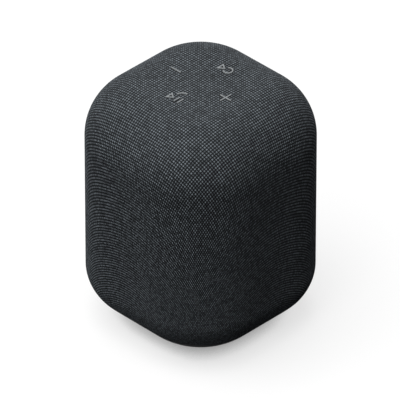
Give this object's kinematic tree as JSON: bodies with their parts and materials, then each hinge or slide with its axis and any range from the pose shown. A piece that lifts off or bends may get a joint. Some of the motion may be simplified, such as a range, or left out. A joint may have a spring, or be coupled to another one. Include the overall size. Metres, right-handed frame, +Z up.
{
  "type": "portable bluetooth speaker",
  "caption": "Upright cloth-covered portable wireless speaker with rounded corners, touch-marked press keys on top, a moulded base trim and a rear charging port.",
  "frame": {"origin": "centre of the footprint, on the surface that the rubber foot stands on", "axes": "+Z up; front of the driver towards -Y; charging port on the +Y side; minus key towards -X and plus key towards +X"},
  "size_m": [0.098, 0.098, 0.1304],
  "materials": {
    "woven_cloth": "coarse plain-woven charcoal speaker cloth, matte with a soft sheen at grazing angles",
    "hem_plastic": "near-black matte plastic groove ring",
    "shell_plastic": "dark grey moulded plastic, fine spark texture",
    "base_plastic": "dark grey satin moulded plastic",
    "foot_rubber": "matte black rubber",
    "screw_steel": "zinc plated steel",
    "black_screw": "black oxide steel",
    "key_elastomer": "dark grey soft-touch elastomer",
    "stem_plastic": "off-white nylon",
    "switch_plastic": "black glass-filled nylon",
    "circuit_board": "green solder mask over glass laminate",
    "ribbon_film": "amber polyimide film",
    "cabinet_plastic": "black moulded ABS",
    "foam_rubber": "closed-cell foam",
    "felt_wadding": "grey felt wadding",
    "basket_steel": "black powder-coated pressed steel",
    "plated_steel": "zinc plated steel, turned",
    "ferrite": "sintered ferrite, dull",
    "pulp_cone": "black coated paper pulp",
    "copper_wire": "enamelled copper winding",
    "surround_rubber": "soft black butyl rubber",
    "spider_cloth": "resin-dipped woven cotton",
    "lead_insulation": "red wire insulation",
    "radiator_plate": "black filled polypropylene",
    "cell_wrap": "blue heat-shrink sleeve",
    "nickel_strip": "nickel strip",
    "chip_resin": "black moulding resin",
    "capacitor_can": "bare aluminium can",
    "tin_can": "tinned steel",
    "bezel_plastic": "black fine-textured plastic",
    "clear_resin": "clear moulded resin"
  },
  "bodies": {
    "root": {"fabric_cover": "woven_cloth", "hem_ring": "hem_plastic", "grille_cage": "shell_plastic", "top_cap": "shell_plastic", "base_cap": "base_plastic", "foot_pad": "foot_rubber", "base_screws": "screw_steel", "switch_housings": "switch_plastic", "control_board": "circuit_board", "control_board_screws": "screw_steel", "control_ribbon": "ribbon_film", "enclosure_front": "cabinet_plastic", "enclosure_rear": "cabinet_plastic", "enclosure_gasket": "foam_rubber", "enclosure_screws": "screw_steel", "damping_foam": "felt_wadding", "driver_basket": "basket_steel", "driver_top_plate": "plated_steel", "driver_magnet": "ferrite", "driver_yoke": "plated_steel", "driver_gasket": "foam_rubber", "driver_surround": "surround_rubber", "driver_spider": "spider_cloth", "driver_screws": "black_screw", "driver_lead": "lead_insulation", "radiator_left_frame": "cabinet_plastic", "radiator_left_surround": "surround_rubber", "radiator_right_frame": "cabinet_plastic", "radiator_right_surround": "surround_rubber", "radiator_screws": "black_screw", "lead_grommet": "surround_rubber", "battery_holder": "cabinet_plastic", "battery_cells": "cell_wrap", "battery_tabs": "nickel_strip", "battery_lead": "lead_insulation", "main_board": "circuit_board", "board_chips": "chip_resin", "board_capacitors": "capacitor_can", "board_coils": "ferrite", "rf_shield": "tin_can", "board_sockets": "stem_plastic", "usb_shell": "tin_can", "usb_tongue": "switch_plastic", "port_bezel": "bezel_plastic", "light_pipe": "clear_resin", "antenna": "circuit_board"},
    "minus_button": {"key_minus": "key_elastomer", "stem_minus": "stem_plastic"},
    "plus_button": {"key_plus": "key_elastomer", "stem_plus": "stem_plastic"},
    "play_button": {"key_play": "key_elastomer", "stem_play": "stem_plastic"},
    "pair_button": {"key_pair": "key_elastomer", "stem_pair": "stem_plastic"},
    "driver_diaphragm": {"driver_cone": "pulp_cone", "driver_dust_cap": "pulp_cone", "voice_coil": "copper_wire"},
    "radiator_left_diaphragm": {"radiator_left_cone": "radiator_plate"},
    "radiator_right_diaphragm": {"radiator_right_cone": "radiator_plate"}
  },
  "joints": [
    {"name": "minus_press", "type": "slide", "parent": "root", "child": "minus_button", "axis": [0, 0, -1], "range_m": [0, 0.0005], "stiffness_N_per_m": 3000},
    {"name": "plus_press", "type": "slide", "parent": "root", "child": "plus_button", "axis": [0, 0, -1], "range_m": [0, 0.0005], "stiffness_N_per_m": 3000},
    {"name": "play_press", "type": "slide", "parent": "root", "child": "play_button", "axis": [0, 0, -1], "range_m": [0, 0.0005], "stiffness_N_per_m": 3000},
    {"name": "pair_press", "type": "slide", "parent": "root", "child": "pair_button", "axis": [0, 0, -1], "range_m": [0, 0.0005], "stiffness_N_per_m": 3000},
    {"name": "driver_travel", "type": "slide", "parent": "root", "child": "driver_diaphragm", "axis": [0, -1, 0], "range_m": [-0.0015, 0.0015], "stiffness_N_per_m": 1500, "deforming": ["driver_surround", "driver_spider"]},
    {"name": "radiator_left_travel", "type": "slide", "parent": "root", "child": "radiator_left_diaphragm", "axis": [-1, 0, 0], "range_m": [-0.0025, 0.0025], "stiffness_N_per_m": 500, "deforming": ["radiator_left_surround"]},
    {"name": "radiator_right_travel", "type": "slide", "parent": "root", "child": "radiator_right_diaphragm", "axis": [1, 0, 0], "range_m": [-0.0025, 0.0025], "stiffness_N_per_m": 500, "deforming": ["radiator_right_surround"]}
  ]
}
